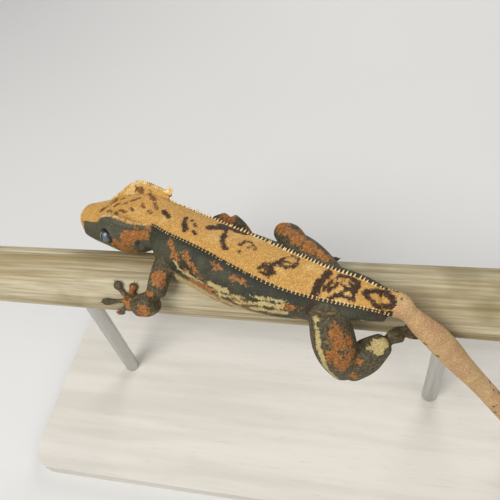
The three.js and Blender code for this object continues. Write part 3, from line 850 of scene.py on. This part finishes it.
# Granular scales: rounded cells with grooves between them, and a tone of its own for each.
scales, given, wanted = group_of(
    "granular scales", "ShaderNodeTree",
    {"Place": "NodeSocketVector", "Cells per metre": "NodeSocketFloat"},
    {"Height": "NodeSocketFloat", "Tone": "NodeSocketFloat"},
)
cells = wire(scales, "ShaderNodeTexVoronoi", {"Vector": given["Place"], "Scale": given["Cells per metre"]})
scales.links.new(ramp(scales, cells.outputs["Distance"], 0.15, 0.62, 1, 0), wanted["Height"])
split = wire(scales, "ShaderNodeSeparateColor", {"Color": cells.outputs["Color"]})
scales.links.new(split.outputs[0], wanted["Tone"])


def finish_material(name, roughness, specular=0.5):
    """A material with its Principled shader, ready for colour and bump."""
    made = bpy.data.materials.new(name)
    made.use_nodes = True
    tree = made.node_tree
    shader = tree.nodes["Principled BSDF"]
    shader.inputs["Roughness"].default_value = roughness
    shader.inputs["Specular IOR Level"].default_value = specular
    place = tree.nodes.new("ShaderNodeTexCoord").outputs["Object"]
    return made, tree, shader, place


def coated(tree, shader, paint, height, depth, strength):
    """The colour and the bump joined to a material's shader."""
    tree.links.new(paint, shader.inputs["Base Color"])
    made = wire(tree, "ShaderNodeBump", {"Height": height, "Strength": strength, "Distance": depth})
    tree.links.new(made.outputs["Normal"], shader.inputs["Normal"])


def stretched(tree, place, scale):
    """The place for a pattern that is drawn out along the axis with the small scale."""
    return wire(tree, "ShaderNodeMapping", {"Vector": place, "Scale": scale}).outputs[0]


cream_dark, cream, cream_light = colour(204, 152, 76), colour(226, 176, 96), colour(236, 198, 126)
brown_mark, brown_soft, brown_crown = colour(60, 38, 20), colour(118, 78, 40), colour(124, 82, 44)
orange_dark, orange_skin = colour(140, 88, 42), colour(192, 128, 62)
flank_dark, flank_light, flank_fleck = colour(52, 52, 38), colour(78, 78, 58), colour(96, 94, 70)
limb_dark, limb_grey, limb_fleck = colour(62, 56, 38), colour(108, 98, 70), colour(150, 120, 76)
face_grey, belly_cream, pale_skin = colour(92, 90, 72), colour(196, 174, 116), colour(204, 184, 124)
# The first colour here is a painted shadow for the strip under the crest and the brows, not a skin colour.
painted_crest_shadow, streak_brown = colour(38, 34, 24), colour(150, 104, 56)
tail_tan, tail_pink, tail_dot = colour(226, 190, 134), colour(208, 164, 118), colour(96, 66, 44)
# The second colour here is painted shade for the grooves between the scales; the first is each scale's own
# tone.
scale_shade, painted_groove_shadow = colour(206, 196, 178), colour(120, 104, 82)

skin_material, tree, shader, place = finish_material("gecko_skin", 0.62, 0.35)
wave = sums(tree, "SUBTRACT", noise(tree, place, 420.0, 4.0, 0.65), 0.5)
fine = noise(tree, place, 1500.0, 3.0, 0.6)
broad = noise(tree, place, 130.0, 3.0, 0.55)
grain = wire(
    tree, "ShaderNodeGroup", {"Place": place, "Cells per metre": 2300.0}, node_tree=scales,
).outputs


def mark(name, soft, wander):
    """How far inside a mark a point is, 0 to 1, with its edge wandering by noise."""
    value = sums(tree, "ADD", attribute(tree, name).outputs["Fac"], sums(tree, "MULTIPLY", wave, wander))
    for loose, share in ((fine, wander * 0.7), (grain["Tone"], 0.18)):
        moved = sums(tree, "MULTIPLY", sums(tree, "SUBTRACT", loose, 0.5), share)
        value = sums(tree, "ADD", value, moved)
    return ramp(tree, value, -soft, soft)


def fleck(low, high, under, over):
    """One colour flecked with another, by the fine noise."""
    return mixed(tree, ramp(tree, fine, low, high), under, over)


# Painted shade: the flank darkens in a narrow strip just under the crest and the brow edges, where their
# scales would cast shadow.
under_crest_painted_shadow = ramp(tree, attribute(tree, "band").outputs["Fac"], -2.6, -0.3, 0.0, 0.6)
on_limb = mark("limb", 0.5, 1.0)
flank = mixed(tree, ramp(tree, broad, 0.35, 0.65), flank_dark, flank_light)
flank = fleck(0.55, 0.8, flank, flank_fleck)
flank = mixed(tree, under_crest_painted_shadow, flank, painted_crest_shadow)
flank = mixed(tree, mark("face", 1.2, 1.0), flank, fleck(0.2, 0.6, flank_light, face_grey))
flank = mixed(tree, on_limb, flank, fleck(0.3, 0.7, limb_dark, limb_grey))
flank = mixed(tree, mark("belly", 0.7, 2.4), flank, belly_cream)
streaks = noise(tree, stretched(tree, place, (0.3, 1.0, 1.0)), 560.0, 4.0, 0.65)
streaked = mixed(tree, ramp(tree, streaks, 0.46, 0.6), flank, streak_brown)
streaked = mixed(tree, ramp(tree, streaks, 0.58, 0.7), streaked, pale_skin)
flank = mixed(tree, mark("streaked", 0.7, 2.0), flank, streaked)
flecks = mixed(tree, ramp(tree, streaks, 0.58, 0.68), flank, limb_fleck)
flank = mixed(tree, on_limb, flank, flecks)
flank = mixed(tree, mark("orange", 0.4, 4.2), flank, fleck(0.35, 0.7, orange_dark, orange_skin))
flank = mixed(tree, mark("pale", 0.25, 2.2), flank, pale_skin)
cream_band = mixed(tree, ramp(tree, broad, 0.5, 0.75), fleck(0.25, 0.75, cream_dark, cream), cream_light)
body = mixed(tree, mark("band", 0.12, 0.5), flank, cream_band)
marking = mixed(tree, mark("face", 0.6, 0.2), fleck(0.5, 0.75, brown_mark, brown_soft), brown_crown)
body = mixed(tree, mark("brown", 0.3, 2.4), body, marking)
tail_skin = mixed(tree, ramp(tree, broad, 0.35, 0.65), tail_pink, tail_tan)
dots = wire(tree, "ShaderNodeTexVoronoi", {"Vector": place, "Scale": 260.0})
tail_skin = mixed(tree, ramp(tree, dots.outputs["Distance"], 0.11, 0.19, 1, 0), tail_skin, tail_dot)
body = mixed(tree, mark("tail", 0.3, 1.6), body, tail_skin)
body = mixed(tree, ramp(tree, grain["Tone"], 0, 1, 0.3, 0.0), body, scale_shade, "MULTIPLY")
# Painted shade: the grooves between the scales are darkened by their depth in the bump.
body = mixed(tree, ramp(tree, grain["Height"], 0, 1, 0.4, 0.0), body, painted_groove_shadow, "MULTIPLY")
coated(tree, shader, body, grain["Height"], 0.0001, 0.7)
skin.data.materials.append(skin_material)
flesh = ["head", "neck", "chest", "belly", "hips"] + ["tail_%d" % k for k in (1, 2, 3, 4)]
flesh += ["%s_%s" % (name, part) for name in limbs for part in ("upper", "lower", "foot")]
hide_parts(*flesh)
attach(skin, "root")


# The crest: soft pointed scales in one row along each edge of the back, from the brows to
# the root of the tail, cream and rooted in the skin, with small ones beside them.
skin_tree = BVHTree.FromObject(skin, bpy.context.evaluated_depsgraph_get())


def rooted(spot):
    """The nearest place on the skin, and the skin's outward direction there."""
    place, normal, _, _ = skin_tree.find_nearest(stand_place(spot))
    return np.array(place) / MM - cane_middle, np.array(normal)


def spine_tree(name):
    """Geometry nodes that grow one bent cone on each point of the given mesh."""
    tree, given, wanted = group_of(
        name, "GeometryNodeTree",
        {
            "Roots": "NodeSocketGeometry", "Sides": "NodeSocketInt", "Bend": "NodeSocketFloat",
            "Tip": "NodeSocketFloat", "Finish": "NodeSocketMaterial",
        },
        {"Spines": "NodeSocketGeometry"},
    )
    cone = wire(tree, "GeometryNodeMeshCone", {
        "Vertices": given["Sides"], "Side Segments": 4, "Radius Top": given["Tip"],
        "Radius Bottom": 1.0, "Depth": 1.0,
    }, fill_type="TRIANGLE_FAN")
    spot = wire(tree, "ShaderNodeSeparateXYZ", {0: wire(tree, "GeometryNodeInputPosition").outputs[0]})
    curl = sums(tree, "MULTIPLY", sums(tree, "POWER", spot.outputs["Z"], 2.0), given["Bend"])
    bent = wire(tree, "GeometryNodeSetPosition", {
        "Geometry": cone.outputs["Mesh"],
        "Offset": wire(tree, "ShaderNodeCombineXYZ", {"X": curl}).outputs[0],
    })
    lie, aft, size = (
        wire(tree, "GeometryNodeInputNamedAttribute", {"Name": label}, data_type="FLOAT_VECTOR").outputs[0]
        for label in ("lie", "aft", "size")
    )
    stand = wire(tree, "FunctionNodeAxesToRotation", {
        "Primary Axis": lie, "Secondary Axis": aft,
    }, primary_axis="Z", secondary_axis="X")
    dots = wire(tree, "GeometryNodeMeshToPoints", {"Mesh": given["Roots"]})
    stood = wire(tree, "GeometryNodeInstanceOnPoints", {
        "Points": dots.outputs[0], "Instance": bent.outputs[0],
        "Rotation": stand.outputs[0], "Scale": size,
    })
    real = wire(tree, "GeometryNodeRealizeInstances", {"Geometry": stood.outputs[0]})
    done = wire(tree, "GeometryNodeSetMaterial", {"Geometry": real.outputs[0], "Material": given["Finish"]})
    tree.links.new(done.outputs[0], wanted["Spines"])
    return tree


grow_spines = spine_tree("spine rows")
patch_size = 0.0015


def set_input(modifier, label, value):
    for item in modifier.node_group.interface.items_tree:
        if item.item_type == "SOCKET" and item.in_out == "INPUT" and item.name == label:
            modifier[item.identifier] = value


def root(place, lie, aft, radius, length, bake_at, tone=0):
    """One spine to grow: its place, its direction, which way it bends, its size and its tone."""
    size = np.array([radius, radius, length]) * MM
    return dict(place=place, lie=lie, aft=aft, size=size, bake=bake_at, tone=tone)


def grown(name, roots, finish, sides=7, bend=0.3, tip=0.16):
    """A piece with one spine on each root, and a UV map with a small patch for each."""
    made = mesh_piece(name, [r["place"] for r in roots], [])
    for label in ("lie", "aft", "size"):
        point_layer(made, label, [r[label] for r in roots])
    point_layer(made, "tone", [r["tone"] for r in roots])
    modifier = made.modifiers.new("grow", "NODES")
    modifier.node_group = grow_spines
    for label, value in (("Sides", sides), ("Bend", bend), ("Tip", tip), ("Finish", finish)):
        set_input(modifier, label, value)
    settled(made)
    made.data.shade_smooth()
    bake = made.data.uv_layers.new(name="OFBake")
    per_spine = len(made.data.vertices) // len(roots)
    corner = np.empty(len(made.data.loops), int)
    made.data.loops.foreach_get("vertex_index", corner)
    turn = (corner % per_spine) * 2 * math.pi / sides
    spread = patch_size * (1 - 0.8 * (corner % per_spine) / per_spine)
    middle = np.array([r["bake"] for r in roots])[corner // per_spine]
    patch = middle + np.stack([np.cos(turn), np.sin(turn)], 1) * spread[:, None]
    bake.data.foreach_set("uv", patch.astype(np.float32).ravel())
    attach(made, "root")


spine_dark, spine_cream, spine_brown = colour(200, 156, 84), colour(238, 212, 158), colour(78, 58, 34)
spine_material, tree, shader, place = finish_material("spine_skin", 0.55, 0.35)
paint = mixed(tree, ramp(tree, noise(tree, place, 900.0), 0.3, 0.7), spine_dark, spine_cream)
paint = mixed(tree, attribute(tree, "tone").outputs["Fac"], paint, spine_brown)
coated(tree, shader, paint, noise(tree, place, 2600.0), 0.00006, 0.6)

chance = random.Random(5)
crest_roots = []
crest_from, crest_to, crest_spacing = -24.6, 39.6, 0.95
crest_radius, crest_sunk = 0.32, 0.28
fade_end, fade_length, fade_least = 41.0, 10, 0.45  # shorter spines towards the tail
bake_from, bake_length = 26, 68
small_radius, small_length, small_sunk = 0.27, 0.5, 0.15
last = len(shares) - 1
for hand in (-1, 1):
    x = crest_from
    while x < crest_to:
        k = int(round(np.interp(x, ridge[:, 0], shares) * last))
        here = ridge[k] + ridge_side[k] * hand * ridge_band[k]
        spot, normal = rooted(here + ridge_rise[k] * crest_drop(ridge_band[k], ridge_half[k], ridge_deep[k]))
        out = unit(ridge_side[k] * hand * 0.75 + ridge_rise[k] * 0.6 + normal * 0.4)
        fade = np.clip((fade_end - x) / fade_length, fade_least, 1)
        long = (0.92 + 0.16 * math.sin(x * 1.7)) * chance.uniform(0.82, 1.12) * fade
        aft = unit(ridge[min(k + 1, last)] - ridge[max(k - 1, 0)])
        bake_at = (0.03 + 0.94 * (x + bake_from) / bake_length, 0.5 + hand * 0.12)
        crest_roots.append(root(
            spot - out * crest_sunk, unit(out + aft * 0.16), aft, crest_radius, long + crest_sunk, bake_at,
        ))
        low_spot, low_normal = rooted(spot - ridge_rise[k] * 0.55 + ridge_side[k] * hand * 0.3)
        crest_roots.append(root(
            low_spot - low_normal * small_sunk, unit(low_normal + aft * 0.3), aft, small_radius,
            small_length * chance.uniform(0.7, 1.1), (bake_at[0], bake_at[1] + hand * 0.03), 0.12,
        ))
        x += crest_spacing * chance.uniform(0.88, 1.12)
grown("crest_spines", crest_roots, spine_material)


# The brow fringes: longer pointed scales over each eye, cream and soft like the crest's, on
# along the sides of the crown to a large one at its back corner.
brow_roots = []
brow_count = 34
brow_spine_sunk = 0.3
for hand in (-1, 1):
    for k in range(brow_count):
        u = (k + 0.5) / brow_count
        spot, normal = rooted(brow_place(u, hand))
        over_eye = bump(u - 0.62, 0.2)
        back_corner = bump(u - 0.05, 0.05)
        out = unit(head_left * hand * 0.9 + head_up * (0.4 + 0.5 * back_corner) + normal * 0.2)
        long = (0.7 + 0.7 * over_eye + 1.9 * back_corner) * chance.uniform(0.85, 1.05)
        wide = 0.33 + 0.1 * over_eye + 0.3 * back_corner
        aft = -head_ahead
        dark = 0.0 if chance.random() > 0.2 else 0.4
        brow_roots.append(root(
            spot - out * brow_spine_sunk, unit(out + aft * 0.3), aft, wide, long + brow_spine_sunk,
            (0.03 + 0.94 * u, 0.75 + hand * 0.1), dark,
        ))
grown("brow_spines", brow_roots, spine_material)


# The eyes: glossy balls set in the sockets, grey-blue with a dark upright slit and a dark
# rim, under a clear hard cover. They have no lids.
iris_dark, iris_light = colour(66, 72, 72), colour(104, 112, 112)
eye_rim, pupil = colour(24, 22, 20), colour(8, 8, 8)
eye_material, tree, shader, place = finish_material("eye", 0.26, 0.4)
shader.inputs["Coat Weight"].default_value = 0.25
shader.inputs["Coat Roughness"].default_value = 0.03
gaze_parts = wire(tree, "ShaderNodeSeparateXYZ", {0: attribute(tree, "gaze").outputs["Vector"]}).outputs
veins = noise(tree, place, 1800.0, 5.0, 0.7)
iris = mixed(tree, ramp(tree, veins, 0.35, 0.65), iris_dark, iris_light)
width_squared, height_squared = (sums(tree, "POWER", gaze_parts[way], 2.0) for way in ("X", "Z"))
from_middle = sums(tree, "SQRT", sums(tree, "ADD", width_squared, height_squared))
iris = mixed(tree, ramp(tree, from_middle, 0.62, 0.92), iris, eye_rim)
slit = sums(tree, "MULTIPLY", height_squared, 0.3)
slit = sums(tree, "ADD", sums(tree, "ABSOLUTE", gaze_parts["X"]), slit)
iris = mixed(tree, ramp(tree, slit, 0.1, 0.16, 1, 0), iris, pupil)
tree.links.new(iris, shader.inputs["Base Color"])
eye_gap, eye_sunk, cornea_bulge, cornea_spread = 0.08, 0.05, 0.04, 0.5
rings, sides = 41, 48
for hand, name in ((1, "eye_left"), (-1, "eye_right")):
    middle = head_place(eye_ahead, hand * (eye_aside - eye_sunk), -eye_below)
    look_out = unit(head_left * hand * 0.94 + head_ahead * 0.3 + head_up * 0.16)
    look_up = unit(head_up - look_out * (head_up @ look_out))
    look_across = np.cross(look_up, look_out)
    eye_axes = np.stack([look_across, look_out, look_up])
    corners, gaze = [], []
    for r in range(rings):
        for k in range(sides):
            away, turn = math.pi * r / (rings - 1), 2 * math.pi * k / sides
            ring = math.sin(away)
            local = np.array([ring * math.cos(turn), math.cos(away), ring * math.sin(turn)])
            cornea = 1 + cornea_bulge * math.exp(-((away / cornea_spread) ** 2))
            corners.append(middle + local @ eye_axes * (eye_radius - eye_gap) * cornea)
            gaze.append(local)
    ball = mesh_piece("fine_" + name, corners, ring_faces(rings, sides))
    point_layer(ball, "gaze", gaze)
    weld = ball.modifiers.new("close the poles", "WELD")
    weld.merge_threshold = 1e-6
    settled(ball)
    ball.data.materials.append(eye_material)
    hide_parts(name)
    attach(ball, "root")


# The claws: one small hooked claw of dark horn at the end of each toe, rooted in the tip of
# its pad and bent towards the cane.
claw_material, tree, shader, place = finish_material("claw_horn", 0.35)
horn_dark, horn_light = colour(60, 48, 34), colour(120, 100, 72)
horn = mixed(tree, ramp(tree, noise(tree, place, 1200.0), 0.3, 0.7), horn_dark, horn_light)
coated(tree, shader, horn, noise(tree, place, 3000.0), 0.00003, 0.5)
claw_roots = []
claw_sunk, claw_radius, claw_length = 0.35, 0.26, 1.15
for limb_number, leg in enumerate(limbs.values()):
    for k, toe in enumerate(leg["toes"]):
        tip_at, before = toe_line(leg["foot"], toe)(np.array([0.99, 0.9]))
        outward = cane_out(leg["foot"][1] + toe[1])
        forward = unit(tip_at - before)
        claw_roots.append(root(
            tip_at - forward * claw_sunk, unit(forward * 0.95 + outward * 0.25), -outward,
            claw_radius, claw_length, (0.1 + 0.2 * limb_number + 0.03 * k, 0.1),
        ))
grown("claws", claw_roots, claw_material, 8, 0.25, 0.08)


# The perch: a cut length of dry cane, split and grooved along its fibres, held by the two
# rods of the stand.
cane_length = 170.0
groove_angles, groove_width, groove_depth = (78, 52, 14, -20, 112, 150, 196, 240, 285), 0.075, 0.4
cane_inset, cane_end, end_round = 0.02, 0.006, 0.5


def cane_section(t, angle):
    x = (t - 0.5) * cane_length
    r = cane_radius(x) - cane_inset
    for k, degrees in enumerate(groove_angles):
        wander = 0.03 * np.sin(x * 0.06 + k * 2.1)
        off = (angle - math.radians(degrees) - wander + math.pi) % (2 * math.pi) - math.pi
        depth = groove_depth * (0.7 + 0.3 * np.sin(x * 0.11 + k))
        r = r - depth * np.exp(-((off / groove_width) ** 2))
    fine_ribs = 0.03 * (1 + np.sin(angle * 41 + np.sin(x * 0.03) * 2))
    broad_ribs = 0.02 * (1 + np.sin(angle * 23 + x * 0.05))
    soft = np.sqrt(np.clip(1 - (np.abs(t - 0.5) * 2 - (1 - cane_end)).clip(0) / cane_end, 0, 1))
    r = r - fine_ribs - broad_ribs - end_round * (1 - soft)
    return r * np.cos(angle), r * np.sin(angle)


def cane_line(t):
    return np.stack([(t - 0.5) * cane_length, 0 * t, 0 * t], 1)


cane = mesh_piece("cane", *tube(cane_line, steady_up(0, 0, 1), cane_section, 160, 288))
cane_tan, cane_pale, fibre_brown = colour(150, 134, 98), colour(196, 186, 158), colour(128, 108, 70)
# The second colour here is painted shade for the cane's grooves.
stain_olive, cane_groove_shadow = colour(116, 104, 66), colour(70, 56, 34)
cane_material, tree, shader, place = finish_material("dry_cane", 0.72, 0.25)
lengthwise = stretched(tree, place, (0.035, 1.0, 1.0))
strips = noise(tree, lengthwise, 260.0, 4.0, 0.6)
fibres = noise(tree, lengthwise, 1500.0, 4.0, 0.7)
stain = noise(tree, place, 38.0, 3.0, 0.55)
paint = mixed(tree, ramp(tree, strips, 0.35, 0.65), cane_tan, cane_pale)
paint = mixed(tree, ramp(tree, fibres, 0.3, 0.7, 0.0, 0.55), paint, fibre_brown)
paint = mixed(tree, ramp(tree, stain, 0.56, 0.74, 0.0, 0.6), paint, stain_olive)
# Painted shade: the hollows of the mesh, its grooves, are darkened by their pointiness.
pointiness = wire(tree, "ShaderNodeNewGeometry").outputs["Pointiness"]
paint = mixed(tree, ramp(tree, pointiness, 0.44, 0.5, 0.75, 0.0), paint, cane_groove_shadow)
coated(tree, shader, paint, sums(tree, "ADD", fibres, strips), 0.0002, 0.7)
cane.data.materials.append(cane_material)
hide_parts("perch")
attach(cane, "root")


# The display stand: an oiled board of plain pale wood, and two brushed steel rods set into
# it that go up to the cane. The board lies flat on the floor.
board_grey, board_pale, pore_brown = colour(196, 190, 178), colour(208, 202, 192), colour(170, 162, 148)
board_material, tree, shader, place = finish_material("stand_board", 0.45, 0.4)
lengthwise = stretched(tree, place, (0.08, 1.0, 1.0))
figure = noise(tree, lengthwise, 120.0, 5.0, 0.6)
pores = noise(tree, lengthwise, 1400.0, 3.0, 0.7)
paint = mixed(tree, ramp(tree, figure, 0.35, 0.65), board_grey, board_pale)
paint = mixed(tree, ramp(tree, pores, 0.55, 0.75, 0.0, 0.35), paint, pore_brown)
coated(tree, shader, paint, pores, 0.00005, 0.5)
steel_grey, steel_pale = colour(176, 176, 174), colour(208, 208, 206)
steel_material, tree, shader, place = finish_material("stand_steel", 0.32)
shader.inputs["Metallic"].default_value = 1.0
brushing = noise(tree, stretched(tree, place, (1.0, 1.0, 0.05)), 3000.0, 3.0, 0.6)
coated(tree, shader, mixed(tree, brushing, steel_grey, steel_pale), brushing, 0.00002, 0.5)
for name, finish in (
    ("stand_base", board_material), ("stand_rod_left", steel_material), ("stand_rod_right", steel_material),
):
    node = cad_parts[name]
    node.data.materials.clear()
    node.data.materials.append(finish)


# A plain pale floor under the stand, and soft studio light from the left, from the right
# and from behind.
floor_half, floor_level = 1.6, -0.0002
floor_data = bpy.data.meshes.new("floor")
floor_signs = ((-1, -1), (1, -1), (1, 1), (-1, 1))
floor_corners = [(x * floor_half, y * floor_half, floor_level) for x, y in floor_signs]
floor_data.from_pydata(floor_corners, [], [(0, 1, 2, 3)])
floor = bpy.data.objects.new("floor", floor_data)
bpy.context.collection.objects.link(floor)
floor_material, tree, shader, place = finish_material("pale_floor", 0.8, 0.2)
floor_grey, floor_pale = colour(206, 204, 200), colour(212, 210, 206)
paint = mixed(tree, noise(tree, place, 6.0), floor_grey, floor_pale)
tree.links.new(paint, shader.inputs["Base Color"])
floor_data.materials.append(floor_material)

room = bpy.data.worlds.new("studio")
room.use_nodes = True
sky = room.node_tree.nodes["Background"].inputs
sky["Color"].default_value = (0.9, 0.94, 1.0, 1)
sky["Strength"].default_value = 0.27
bpy.context.scene.world = room
lamp_aim = Vector((0, 0, 0.07))
for name, spot, size, power_watts in (
    ("key", (-0.25, -0.35, 0.55), 0.35, 3.9),
    ("fill", (0.5, -0.3, 0.4), 0.5, 1.7),
    ("rim", (0.1, 0.55, 0.45), 0.4, 2.0),
):
    light = bpy.data.lights.new(name, "AREA")
    light.size, light.energy = size, power_watts
    lamp = bpy.data.objects.new(name, light)
    lamp.location = spot
    lamp.rotation_euler = (lamp_aim - Vector(spot)).to_track_quat("-Z", "Y").to_euler()
    bpy.context.collection.objects.link(lamp)
bpy.context.scene.view_settings.view_transform = "Standard"
